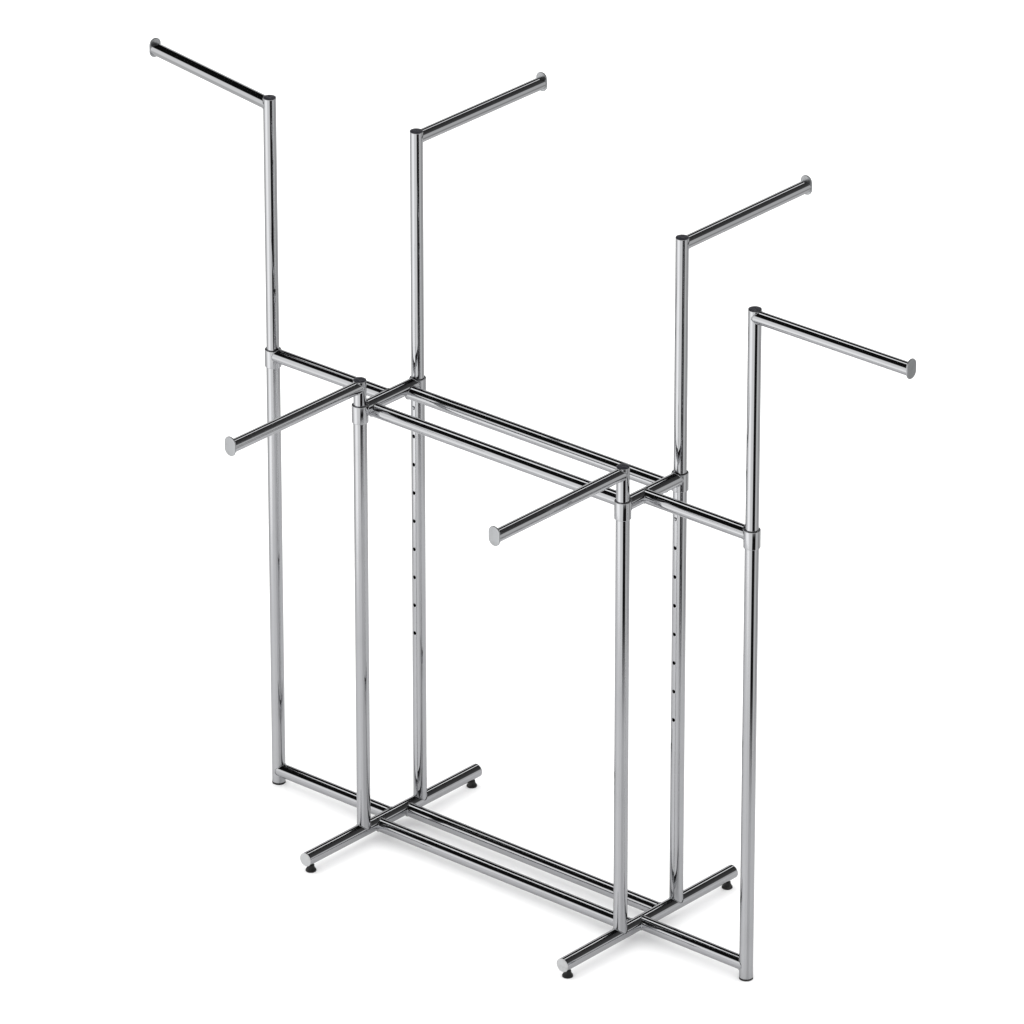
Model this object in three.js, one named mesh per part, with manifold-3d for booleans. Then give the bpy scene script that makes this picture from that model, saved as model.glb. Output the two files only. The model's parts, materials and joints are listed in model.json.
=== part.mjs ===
// Six-post adjustable clothing rack in chromed round tube.
// Millimetres, +Z up, floor at Z = 0. X runs along the rack, Y across it.
// A low welded base carries six hollow posts. Each post guides a riser with one straight
// hanging arm, and a spring button in the riser locks into a row of holes in the post.

import * as THREE from 'three';
import { mergeVertices } from 'three/addons/utils/BufferGeometryUtils.js';
import Module from 'manifold-3d';

const wasm = await Module();
wasm.setup();

// ---- Driving dimensions ----

const SIDES = 16; // facets round every tube
const GAP = 0.3; // clearance left between neighbouring pieces

const FRAME_R = 17.5; // base bars, rails and cross tubes: 35 mm tube
const FRAME_WALL = 1.2;
const POST_R = 17; // lower posts: 34 mm tube
const POST_WALL = 0.8;
const RISER_R = 15.9; // risers and arms: 31.8 mm tube
const RISER_WALL = 1.2;

const POST_X = 415; // foot bars and the four inner posts
const POST_Y = 105;
const END_POST_LEFT = { x: -795, y: 0 };
const END_POST_RIGHT = { x: 745, y: -28 };

const BASE_Z = 37.5; // axis of the foot bars and the base end rails
const FOOT_BAR_HALF = 322;
const BASE_RAIL_Y = 54; // long base rails, either side of the middle
const BASE_RAIL_Z = 34;
const TOP_Z = 1177; // axis of the cross tubes and the top end rails
const TOP_RAIL_Y = 66.5; // long top rails, just clear of the collars
const TOP_RAIL_Z = 1167;
const RAIL_TIP = 9; // the underside of a long rail stops this far short of the cross axis

const COLLAR_R = 20.5;
const COLLAR_HEIGHT = 46;
const COLLAR_TOP = 1191;
const COLLAR_BEVEL = 2;
const COLLAR_LIP = 4; // top ring that closes in to the riser

const HOLE_PITCH = 76.2; // one height step
const HOLE_R = 4.8;
const HOLE_SIDES = 8;
const BUTTON_R = 4.2;
const BUTTON_DEPTH = 725; // from the top of a riser down to its button
const RISER_LENGTH = 765;

const ARM_REACH = 462; // riser axis to the outer face of the stop plate
const ARM_DROP = 20; // top of the riser down to the arm's axis
const STOP_WIDTH = 34;
const STOP_HEIGHT = 50;
const STOP_THICK = 4;
const STOP_LIFT = 3; // stop plate centre above the arm's axis
const STOP_BEVEL = 1;

const PLUG_FLANGE = 2.7;
const PLUG_DOME = 1.2; // rise of the plug's crown
const PLUG_CROWN = 3; // width of the sloping band round the crown
const PLUG_SPIGOT = 15;
const CAP_THICK = 3;
const CAP_BEVEL = 1;
const GLIDE_HEIGHT = 5;

const FOOT_Y = 300; // levelling feet along the foot bars
const FOOT_BASE_R = 13.5;
const FOOT_NECK_R = 8;
const FOOT_HEIGHT = 17;
const FOOT_RIM = 4;
const STEM_R = 4;
const STEM_TOP = 45;

// ---- Materials ----

function metal(color, roughness) {
  return new THREE.MeshStandardMaterial({ color, roughness, metalness: 1 });
}

function polymer(color, roughness) {
  return new THREE.MeshStandardMaterial({ color, roughness, metalness: 0 });
}

const chrome = metal(0xc9ccd0, 0.08);
const satinPlate = metal(0xb0b5b8, 0.35);
const springSteel = metal(0x9a9da2, 0.25);
const blackPlastic = polymer(0x1b1c22, 0.45);
const greyPlastic = polymer(0xc6c9cb, 0.5);
const rubber = polymer(0x141414, 0.8);

// ---- Solids ----

function toSolid(geometry) {
  geometry.deleteAttribute('normal');
  geometry.deleteAttribute('uv');
  const merged = mergeVertices(geometry, 1e-4);
  const mesh = new wasm.Mesh({
    numProp: 3,
    vertProperties: new Float32Array(merged.attributes.position.array),
    triVerts: new Uint32Array(merged.index.array),
  });
  return new wasm.Manifold(mesh);
}

function toGeometry(solid) {
  const mesh = solid.getMesh();
  const geometry = new THREE.BufferGeometry();
  geometry.setAttribute('position', new THREE.BufferAttribute(mesh.vertProperties, mesh.numProp));
  geometry.setIndex(new THREE.BufferAttribute(mesh.triVerts, 1));
  geometry.computeVertexNormals();
  return geometry;
}

// Turns a geometry made along Z so that it runs along the named axis.
function alongAxis(geometry, axis) {
  if (axis === 'x') geometry.rotateY(Math.PI / 2);
  if (axis === 'y') geometry.rotateX(-Math.PI / 2);
  return geometry;
}

// Solid round bar centred on a point.
function rod(radius, length, axis, [x, y, z], sides = SIDES) {
  const geometry = new THREE.CylinderGeometry(radius, radius, length, sides);
  geometry.rotateX(Math.PI / 2);
  alongAxis(geometry, axis);
  geometry.translate(x, y, z);
  return toSolid(geometry);
}

// Open-ended tube centred on a point.
function pipe(radius, wall, length, axis, centre) {
  const bore = rod(radius - wall, length + 2, axis, centre);
  return rod(radius, length, axis, centre).subtract(bore);
}

// Solid of revolution about Z from [radius, height] pairs that start and end on the axis.
function turned(profile, sides = SIDES) {
  const points = profile.map(([radius, height]) => new THREE.Vector2(radius, height));
  const geometry = new THREE.LatheGeometry(points, sides);
  geometry.rotateX(Math.PI / 2);
  return toSolid(geometry);
}

// Radius of a faceted cutter whose flats clear a round neighbour by GAP.
function clearRadius(radius, sides = SIDES) {
  return (radius + GAP) / Math.cos(Math.PI / sides);
}

// Radius of a round plug that clears the flats inside a tube by GAP, whichever way it is turned.
function spigotRadius(tubeRadius, wall) {
  return (tubeRadius - wall) * Math.cos(Math.PI / SIDES) - GAP;
}

// Cutter that gives a tube's end a saddle for a neighbour tube.
function saddle(radius, axis, centre) {
  return rod(clearRadius(radius), 4 * FRAME_R, axis, centre);
}

function piece(name, solid, material) {
  const mesh = new THREE.Mesh(toGeometry(solid), material);
  mesh.name = name;
  return mesh;
}

// ---- Base ----

function footBar(name, x) {
  const reach = FOOT_BAR_HALF - CAP_THICK - GAP;
  let solid = pipe(FRAME_R, FRAME_WALL, 2 * reach, 'y', [0, 0, 0]);
  for (const y of [-FOOT_Y, FOOT_Y]) {
    solid = solid.subtract(rod(STEM_R + 2 * GAP, FRAME_R, 'z', [0, y, -FRAME_R], HOLE_SIDES));
  }
  const mesh = piece(name, solid, chrome);
  mesh.position.set(x, 0, BASE_Z);
  return mesh;
}

function footBarCap(name, x, side) {
  const spigotR = spigotRadius(FRAME_R, FRAME_WALL);
  const solid = turned([
    [0, -CAP_THICK - PLUG_SPIGOT],
    [spigotR, -CAP_THICK - PLUG_SPIGOT],
    [spigotR, -CAP_THICK],
    [FRAME_R, -CAP_THICK],
    [FRAME_R, -CAP_BEVEL],
    [FRAME_R - CAP_BEVEL, 0],
    [0, 0],
  ]);
  const mesh = piece(name, solid, greyPlastic);
  mesh.rotation.x = -side * Math.PI / 2;
  mesh.position.set(x, side * FOOT_BAR_HALF, BASE_Z);
  return mesh;
}

function levellingFoot(name, x, y) {
  const solid = turned([
    [0, 0],
    [FOOT_BASE_R, 0],
    [FOOT_BASE_R, FOOT_RIM],
    [FOOT_NECK_R, FOOT_HEIGHT],
    [STEM_R, FOOT_HEIGHT],
    [STEM_R, STEM_TOP],
    [0, STEM_TOP],
  ]);
  const mesh = piece(name, solid, rubber);
  mesh.position.set(x, y, 0);
  return mesh;
}

function floorGlide(name, { x, y }) {
  const spigotR = spigotRadius(POST_R, POST_WALL);
  const solid = turned([
    [0, 0],
    [POST_R, 0],
    [POST_R, GLIDE_HEIGHT],
    [spigotR, GLIDE_HEIGHT],
    [spigotR, GLIDE_HEIGHT + PLUG_SPIGOT],
    [0, GLIDE_HEIGHT + PLUG_SPIGOT],
  ]);
  const mesh = piece(name, solid, rubber);
  mesh.position.set(x, y, 0);
  return mesh;
}

// Straight rail along X between two upright planes, cut at both ends by the listed neighbours.
// A neighbour's rise is how far its axis lies above the rail's.
function rail(name, fromX, toX, y, z, neighbours) {
  const centre = (fromX + toX) / 2;
  let solid = pipe(FRAME_R, FRAME_WALL, toX - fromX, 'x', [0, 0, 0]);
  for (const { radius, axis, x, rise } of neighbours) {
    solid = solid.subtract(saddle(radius, axis, [x - centre, 0, rise]));
  }
  const mesh = piece(name, solid, chrome);
  mesh.position.set(centre, y, z);
  return mesh;
}

// Long rail between the two cross axes, a little lower than the tubes it meets.
function longRail(name, y, z, crossZ) {
  const neighbours = [-POST_X, POST_X].map((x) => ({
    radius: FRAME_R,
    axis: 'y',
    x,
    rise: crossZ - z,
  }));
  return rail(name, -POST_X + RAIL_TIP, POST_X - RAIL_TIP, y, z, neighbours);
}

// Middle rail from a cross axis out to an end post, or to its collar when that is the neighbour.
function endRail(name, barX, end, endRadius, z) {
  const neighbours = [
    { radius: FRAME_R, axis: 'y', x: barX, rise: 0 },
    { radius: endRadius, axis: 'z', x: end.x, rise: 0 },
  ];
  return rail(name, Math.min(barX, end.x), Math.max(barX, end.x), end.y, z, neighbours);
}

function baseRails() {
  return [
    longRail('base_rail_front', -BASE_RAIL_Y, BASE_RAIL_Z, BASE_Z),
    longRail('base_rail_back', BASE_RAIL_Y, BASE_RAIL_Z, BASE_Z),
    endRail('base_end_rail_left', -POST_X, END_POST_LEFT, POST_R, BASE_Z),
    endRail('base_end_rail_right', POST_X, END_POST_RIGHT, POST_R, BASE_Z),
  ];
}

// ---- Top frame ----

// Outside of a collar, without its bore, with its top face at Z = 0.
function collarBlank() {
  return turned([
    [0, -COLLAR_HEIGHT],
    [COLLAR_R - COLLAR_BEVEL, -COLLAR_HEIGHT],
    [COLLAR_R, -COLLAR_HEIGHT + COLLAR_BEVEL],
    [COLLAR_R, -COLLAR_BEVEL],
    [COLLAR_R - COLLAR_BEVEL, 0],
    [0, 0],
  ]);
}

// Bore of a collar: wide round the post, closing in to the riser at the top lip.
function collarBore() {
  const postBore = clearRadius(POST_R);
  const riserBore = clearRadius(RISER_R);
  return turned([
    [0, -COLLAR_HEIGHT - 1],
    [postBore, -COLLAR_HEIGHT - 1],
    [postBore, -COLLAR_LIP],
    [riserBore, -COLLAR_LIP],
    [riserBore, COLLAR_LIP],
    [0, COLLAR_LIP],
  ]);
}

function endCollar(name, { x, y }) {
  const mesh = piece(name, collarBlank().subtract(collarBore()), chrome);
  mesh.position.set(x, y, COLLAR_TOP);
  return mesh;
}

// Cross tube with the collars of two inner posts welded to its ends.
function crossTube(name, x) {
  const weldOverlap = 0.3;
  let solid = pipe(FRAME_R, FRAME_WALL, 2 * POST_Y, 'y', [0, 0, TOP_Z - COLLAR_TOP]);
  for (const y of [-POST_Y, POST_Y]) {
    const trim = rod(COLLAR_R - weldOverlap, 4 * FRAME_R, 'z', [0, y, TOP_Z - COLLAR_TOP]);
    const collar = collarBlank().subtract(collarBore()).translate([0, y, 0]);
    solid = solid.subtract(trim).add(collar);
  }
  const mesh = piece(name, solid, chrome);
  mesh.position.set(x, 0, COLLAR_TOP);
  return mesh;
}

function topRails() {
  return [
    longRail('top_rail_front', -TOP_RAIL_Y, TOP_RAIL_Z, TOP_Z),
    longRail('top_rail_back', TOP_RAIL_Y, TOP_RAIL_Z, TOP_Z),
    endRail('top_end_rail_left', -POST_X, END_POST_LEFT, COLLAR_R, TOP_Z),
    endRail('top_end_rail_right', POST_X, END_POST_RIGHT, COLLAR_R, TOP_Z),
  ];
}

// ---- Posts and arm units ----

// Where each post stands, the height of its riser's top, how many steps up the riser is set,
// how many steps its hole row has, and the directions of the arm and the button in degrees.
const stations = {
  end_left: { ...END_POST_LEFT, top: 1857, set: 8, steps: 8, arm: 170, button: 80, onFloor: true },
  front_left: { x: -POST_X, y: -POST_Y, top: 1258, set: 0, steps: 7, arm: 270, button: 90 },
  back_left: { x: -POST_X, y: POST_Y, top: 1840, set: 8, steps: 8, arm: 90, button: 270 },
  front_right: { x: POST_X, y: -POST_Y, top: 1281, set: 0, steps: 7, arm: 270, button: 90 },
  back_right: { x: POST_X, y: POST_Y, top: 1798, set: 7, steps: 7, arm: 90, button: 270 },
  end_right: { ...END_POST_RIGHT, top: 1755, set: 6, steps: 7, arm: 0, button: 90, onFloor: true },
};

const degrees = THREE.MathUtils.degToRad;

// Lower post with its row of button holes; the row faces local +X.
function post(name, { x, y, top, set, steps, button, onFloor }) {
  const postTop = COLLAR_TOP - COLLAR_LIP - GAP;
  const bottom = onFloor ? GLIDE_HEIGHT + GAP : BASE_Z;
  const middle = (postTop + bottom) / 2;
  let solid = pipe(POST_R, POST_WALL, postTop - bottom, 'z', [0, 0, middle]);
  const lowestHole = top - BUTTON_DEPTH - set * HOLE_PITCH;
  for (let step = 0; step <= steps; step += 1) {
    const height = lowestHole + step * HOLE_PITCH;
    solid = solid.subtract(rod(HOLE_R, POST_R, 'x', [POST_R, 0, height], HOLE_SIDES));
  }
  if (!onFloor) {
    // The foot bar runs along world Y, which is local X once the hole row is turned.
    solid = solid.subtract(saddle(FRAME_R, 'x', [0, 0, BASE_Z]));
  }
  const mesh = piece(name, solid, chrome);
  mesh.rotation.z = degrees(button);
  mesh.position.set(x, y, 0);
  return mesh;
}

function riser(name, buttonTurn) {
  const tubeTop = -PLUG_FLANGE - GAP;
  const middle = (tubeTop - RISER_LENGTH) / 2;
  const tube = pipe(RISER_R, RISER_WALL, RISER_LENGTH + tubeTop, 'z', [0, 0, middle]);
  const hole = rod(BUTTON_R + GAP, RISER_R, 'x', [RISER_R, 0, -BUTTON_DEPTH], HOLE_SIDES);
  const mesh = piece(name, tube.subtract(hole), chrome);
  mesh.rotation.z = buttonTurn;
  return mesh;
}

// Hanging arm along local +X, cut to saddle the riser.
function arm(name) {
  const reach = ARM_REACH - STOP_THICK - GAP;
  const tube = pipe(RISER_R, RISER_WALL, reach, 'x', [reach / 2, 0, 0]);
  const mesh = piece(name, tube.subtract(saddle(RISER_R, 'z', [0, 0, 0])), chrome);
  mesh.position.z = -ARM_DROP;
  return mesh;
}

// Upright plate with round ends that keeps hangers on the arm.
function armStop(name) {
  const endR = STOP_WIDTH / 2 - STOP_BEVEL;
  const straight = (STOP_HEIGHT - STOP_WIDTH) / 2;
  const outline = new THREE.Shape();
  outline.absarc(0, straight, endR, 0, Math.PI);
  outline.absarc(0, -straight, endR, Math.PI, 2 * Math.PI);
  const geometry = new THREE.ExtrudeGeometry(outline, {
    depth: STOP_THICK - 2 * STOP_BEVEL,
    bevelThickness: STOP_BEVEL,
    bevelSize: STOP_BEVEL,
    bevelSegments: 1,
    curveSegments: SIDES / 4,
  });
  geometry.translate(0, 0, STOP_BEVEL);
  geometry.rotateX(Math.PI / 2);
  geometry.rotateZ(Math.PI / 2);
  const mesh = piece(name, toSolid(geometry), satinPlate);
  mesh.position.set(ARM_REACH - STOP_THICK, 0, STOP_LIFT - ARM_DROP);
  return mesh;
}

function riserPlug(name) {
  const spigotR = spigotRadius(RISER_R, RISER_WALL);
  const solid = turned([
    [0, -PLUG_FLANGE - PLUG_SPIGOT],
    [spigotR, -PLUG_FLANGE - PLUG_SPIGOT],
    [spigotR, -PLUG_FLANGE],
    [RISER_R, -PLUG_FLANGE],
    [RISER_R, -PLUG_DOME],
    [RISER_R - PLUG_CROWN, 0],
    [0, 0],
  ]);
  return piece(name, solid, blackPlastic);
}

// Spring button: a pin with a round nose on a flat leaf that lies just inside the riser wall.
function snapButton(name, buttonTurn) {
  const leafWidth = 9;
  const leafThick = 0.8;
  const leafFace = 13; // outer face of the leaf from the riser's axis
  const leafUp = 8;
  const leafDown = 52;
  const noseTip = POST_R + 2;
  const noseRound = 1.2;
  const pin = turned([
    [0, leafFace - leafThick / 2],
    [BUTTON_R, leafFace - leafThick / 2],
    [BUTTON_R, noseTip - noseRound],
    [BUTTON_R - noseRound, noseTip],
    [0, noseTip],
  ], HOLE_SIDES).rotate([0, 90, 0]);
  const leafGeometry = new THREE.BoxGeometry(leafThick, leafWidth, leafUp + leafDown);
  leafGeometry.translate(leafFace - leafThick / 2, 0, (leafUp - leafDown) / 2);
  const mesh = piece(name, toSolid(leafGeometry).add(pin), springSteel);
  mesh.rotation.z = buttonTurn;
  mesh.position.z = -BUTTON_DEPTH;
  return mesh;
}

// One riser with everything that travels with it; local +X is the arm's direction.
function armUnit(key, { x, y, top, arm: armTurn, button }) {
  const buttonTurn = degrees(button - armTurn);
  const unit = new THREE.Group();
  unit.add(riser(`riser_${key}`, buttonTurn));
  unit.add(arm(`arm_${key}`));
  unit.add(armStop(`arm_stop_${key}`));
  unit.add(riserPlug(`riser_plug_${key}`));
  unit.add(snapButton(`snap_button_${key}`, buttonTurn));
  unit.rotation.z = degrees(armTurn);
  unit.position.set(x, y, top);
  return unit;
}

// ---- Assembly ----

const rack = new THREE.Group();

for (const [side, x] of [['left', -POST_X], ['right', POST_X]]) {
  rack.add(footBar(`foot_bar_${side}`, x));
  rack.add(crossTube(`cross_tube_${side}`, x));
  for (const [end, sign] of [['front', -1], ['back', 1]]) {
    rack.add(footBarCap(`foot_cap_${side}_${end}`, x, sign));
    rack.add(levellingFoot(`levelling_foot_${side}_${end}`, x, sign * FOOT_Y));
  }
}

for (const [side, place] of [['left', END_POST_LEFT], ['right', END_POST_RIGHT]]) {
  rack.add(floorGlide(`floor_glide_${side}`, place));
  rack.add(endCollar(`collar_${side}`, place));
}

rack.add(...baseRails());
rack.add(...topRails());

for (const [key, station] of Object.entries(stations)) {
  rack.add(post(`post_${key}`, station));
  rack.add(armUnit(key, station));
}

// The origin is the middle of the whole rack at floor level.
rack.updateMatrixWorld(true);
const middle = new THREE.Box3().setFromObject(rack).getCenter(new THREE.Vector3());
rack.position.set(-middle.x, -middle.y, 0);

export default rack;
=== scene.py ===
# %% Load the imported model
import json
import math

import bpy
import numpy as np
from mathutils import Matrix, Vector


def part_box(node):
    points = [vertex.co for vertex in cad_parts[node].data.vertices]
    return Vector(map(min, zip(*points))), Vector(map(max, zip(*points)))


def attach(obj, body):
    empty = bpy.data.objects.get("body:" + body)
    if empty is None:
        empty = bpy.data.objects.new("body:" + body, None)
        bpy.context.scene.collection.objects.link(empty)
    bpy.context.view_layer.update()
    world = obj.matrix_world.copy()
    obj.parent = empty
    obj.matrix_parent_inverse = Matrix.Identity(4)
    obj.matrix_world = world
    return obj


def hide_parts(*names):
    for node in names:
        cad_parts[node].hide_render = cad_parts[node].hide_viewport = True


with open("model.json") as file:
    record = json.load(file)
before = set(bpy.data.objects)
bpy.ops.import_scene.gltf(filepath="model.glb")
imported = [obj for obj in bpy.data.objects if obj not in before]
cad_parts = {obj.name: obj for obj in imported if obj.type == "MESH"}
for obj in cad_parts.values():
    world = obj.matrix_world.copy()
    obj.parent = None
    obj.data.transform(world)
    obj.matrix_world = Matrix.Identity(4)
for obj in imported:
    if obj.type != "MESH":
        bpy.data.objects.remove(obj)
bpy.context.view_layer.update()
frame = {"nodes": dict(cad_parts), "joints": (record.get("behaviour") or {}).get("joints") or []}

# %% [markdown]
# # Six-arm clothing rack in chromed tube
#
# The rack is a shop fixture. A low welded base carries six hollow posts, a welded top frame
# ties them together, and a riser with one straight arm slides in each post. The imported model
# holds the sizes, the bodies and the joints as flat-sided solids. This lesson gives every
# piece its finished shape: round drawn tube with a real wall, drilled holes, mitred ends,
# weld beads, moulded plugs and rubber feet. Each new piece takes its place from the packed
# model, rides on the same body, and stands for the solid it finishes.

MM = 0.001

# %% [markdown]
# ## Camera
#
# A rack this open reads best from above one corner through a long lens, which keeps the
# uprights almost parallel. The lens could be short and near, but then the far posts would
# look thin. The camera looks at the middle of the rack, a little under half its height.

# %% Camera
CAMERA_AZIMUTH = math.radians(40.89)
CAMERA_ELEVATION = math.radians(25.54)
CAMERA_DISTANCE = 20.0
CAMERA_LENS = 292.4
CAMERA_SHIFT = (-0.0065, 0.0349)
AIM = np.array([0.023, 0.0, 0.9])


def towards(azimuth, elevation):
    """Unit vector at an azimuth, which is 0 towards -Y and 90 degrees towards +X, and an
    elevation above the floor."""
    flat = math.cos(elevation)
    return np.array([math.sin(azimuth) * flat, -math.cos(azimuth) * flat, math.sin(elevation)])


camera_data = bpy.data.cameras.new("camera")
camera_data.lens = CAMERA_LENS
camera_data.sensor_width = 36.0
camera_data.shift_x, camera_data.shift_y = CAMERA_SHIFT
camera_data.clip_end = 200.0
camera = bpy.data.objects.new("camera", camera_data)
bpy.context.scene.collection.objects.link(camera)
away = towards(CAMERA_AZIMUTH, CAMERA_ELEVATION)
camera.location = AIM + CAMERA_DISTANCE * away
camera.rotation_euler = (math.pi / 2 - CAMERA_ELEVATION, 0.0, CAMERA_AZIMUTH)
bpy.context.scene.camera = camera
print("camera at", [round(value, 3) for value in camera.location])

# %% [markdown]
# ## From a grid of points to a closed mesh
#
# Every shape below is a grid: rows along the piece and columns round it, worked out as whole
# arrays. Where a grid closes on itself or runs into a pole, some of its points coincide. They
# could be left doubled, but then the surface would have open seams, so they are joined here.
# The enclosed volume tells if the faces look outwards: a negative one means inside out.

# %% Joining points and making a piece
FINISHED = {}  # material slot -> pieces that take it
KEYS_PER_METRE = 1e7


def join_points(points, quads):
    """Makes one point of all that lie within a tenth of a micrometre. A four-sided face that
    loses a corner becomes a triangle, and one that loses two is dropped."""
    keys = np.round(points * KEYS_PER_METRE).astype(np.int64)
    _, first, index = np.unique(keys, axis=0, return_index=True, return_inverse=True)
    quads = index.reshape(-1)[quads]
    same = quads == np.roll(quads, -1, axis=1)
    lost = same.sum(axis=1)
    triangles = quads[lost == 1][~same[lost == 1]].reshape(-1, 3)
    return points[first], quads[lost == 0].tolist() + triangles.tolist()


def volume_inside(points, quads):
    """Six times the enclosed volume: the sum, over both halves of each face, of the box
    product of its three corners."""
    a, b, c, d = (points[quads[:, corner]] for corner in range(4))
    return np.sum(np.cross(a, b) * c) + np.sum(np.cross(a, c) * d)


def add_piece(name, points, quads, body, slot, node=None):
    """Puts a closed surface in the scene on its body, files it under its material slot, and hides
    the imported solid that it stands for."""
    if volume_inside(points, quads) < 0:
        quads = quads[:, ::-1]
    points, faces = join_points(points, quads)
    mesh = bpy.data.meshes.new(name)
    mesh.from_pydata(points, [], faces)
    mesh.polygons.foreach_set("use_smooth", np.ones(len(mesh.polygons), bool))
    mesh.update()
    piece = bpy.data.objects.new(name, mesh)
    bpy.context.scene.collection.objects.link(piece)
    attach(piece, body)
    if node:
        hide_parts(node)
    FINISHED.setdefault(slot, []).append(piece)
    return piece


def box_of(node):
    """Lowest corner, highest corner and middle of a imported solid, as arrays."""
    low, high = (np.array(corner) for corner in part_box(node))
    return low, high, (low + high) / 2


def unit(vector):
    """The vector scaled to length one."""
    return np.asarray(vector, float) / np.linalg.norm(vector)


X, Y, Z = np.eye(3)
print("packed solids:", len(frame["nodes"]))

# %% [markdown]
# ## Tube walls
#
# Drawn steel tube has an outer and an inner skin, a cut edge that is never quite sharp, and
# here some ends that are mitred to sit on a neighbour and rows of drilled holes. Cutting
# these with booleans works, but leaves long thin faces that spoil a mirror finish. Instead
# both skins are the same grid, some of its cells are taken away, and one rule closes every
# edge between a kept cell and a missing one. Round a hole the grid lines bend, so that the
# missing square of cells is a circle.

# %% Closing two matching skins
def skin_quads(kept):
    """Faces of a tube whose two skins are matching grids, rows along and columns round.
    kept says which cells hold metal. Each kept cell gives an outer and a turned-over inner
    face, and each edge between kept and missing cells gives a face from skin to skin."""
    rows, columns = kept.shape[0] + 1, kept.shape[1]
    here = np.arange(rows * columns).reshape(rows, columns)
    beside = np.roll(here, -1, axis=1)
    inner = rows * columns
    cells = np.stack([here[:-1], beside[:-1], beside[1:], here[1:]], axis=-1)[kept]
    padded = np.pad(kept, ((1, 1), (0, 0)))
    before, after = padded[:-1], padded[1:]
    previous = np.roll(kept, 1, axis=1)
    low, high = here[:-1], here[1:]
    rims = [
        (beside, here, after & ~before),
        (here, beside, before & ~after),
        (low, high, kept & ~previous),
        (high, low, previous & ~kept),
    ]
    walls = [
        np.stack([start, end, end + inner, start + inner], axis=-1)[edge]
        for start, end, edge in rims
    ]
    return np.concatenate([cells, cells[:, ::-1] + inner, *walls])


# %% Bending the grid into drilled holes
LIP = 0.3 * MM  # round on every cut edge
NET = np.array([-2.2, -1.6, -1.25, -1.08, -1, -0.66, -0.33, 0, 0.33, 0.66, 1, 1.08, 1.25, 1.6, 2.2])
NET_EDGE = NET[-1]
ROUND_COLUMNS = 64
OUT_OF_REACH = 9.0  # in hole radii, for a column that crosses no hole
NO_HOLE = 1e3  # metres, for a tube with no holes
LIP_FADE = 0.08  # how far a hole's round edge reaches, in hole radii


def hole_columns(radius, hole_radius):
    """Turn of each column round a tube whose holes face turn zero, and its sideways distance
    from them in hole radii. Close columns cross the holes and even ones cover the rest."""
    near = np.arcsin(NET * hole_radius / radius)
    far = np.linspace(near[-1], 2 * math.pi + near[0], ROUND_COLUMNS - len(NET))[1:-1]
    sideways = np.concatenate([NET, np.full(len(far), OUT_OF_REACH)])
    return np.concatenate([near, far]), sideways


def bend(sideways, lengthways):
    """How much each grid point moves out from a hole's centre. The size of a point is the
    larger of its two distances, so lines of equal size are squares. The factor size / length
    makes a circle of such a square, and it fades to one at the edge of the net."""
    size = np.maximum(abs(sideways), abs(lengthways))
    length = np.maximum(np.hypot(sideways, lengthways), 1e-9)
    share = np.clip((size - 1) / (NET_EDGE - 1), 0, 1)
    return (1 - share) * size / length + share, size


print("columns round a tube:", ROUND_COLUMNS)

# %% [markdown]
# ## Mitred ends
#
# Where one tube meets another at right angles its end is milled to a saddle. On a line of the
# wall that passes the neighbour's axis at a sideways distance s, the metal stops where it
# meets the neighbour, which is sqrt(R^2 - s^2) short of that axis.

# %% One straight tube
LIP_ROWS = np.array([0, 0.25, 1, 4]) * LIP  # rows near an end, measured from the end
LIP_DROP = np.array([1, 0.3, 0, 0]) * LIP  # how far these rows lie under the skin
SLIVER = 0.2  # least saddle depth, as a share of the neighbour's radius


def end_distance(start, along, offsets, neighbours, sign, plain):
    """Distance along the tube at which each wall line ends. A neighbour is a point on its
    axis, its axis and its radius. A line that meets none ends square, at the plain distance."""
    ends = [np.full(len(offsets), plain)]
    for centre, axis, radius in neighbours:
        across = unit(np.cross(axis, along))
        sideways = (start + offsets - centre) @ across
        depth = np.sqrt(np.maximum(radius**2 - sideways**2, (SLIVER * radius) ** 2))
        ends.append((centre - start) @ along + sign * depth)
    return np.max(ends, axis=0) if sign > 0 else np.min(ends, axis=0)


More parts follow.
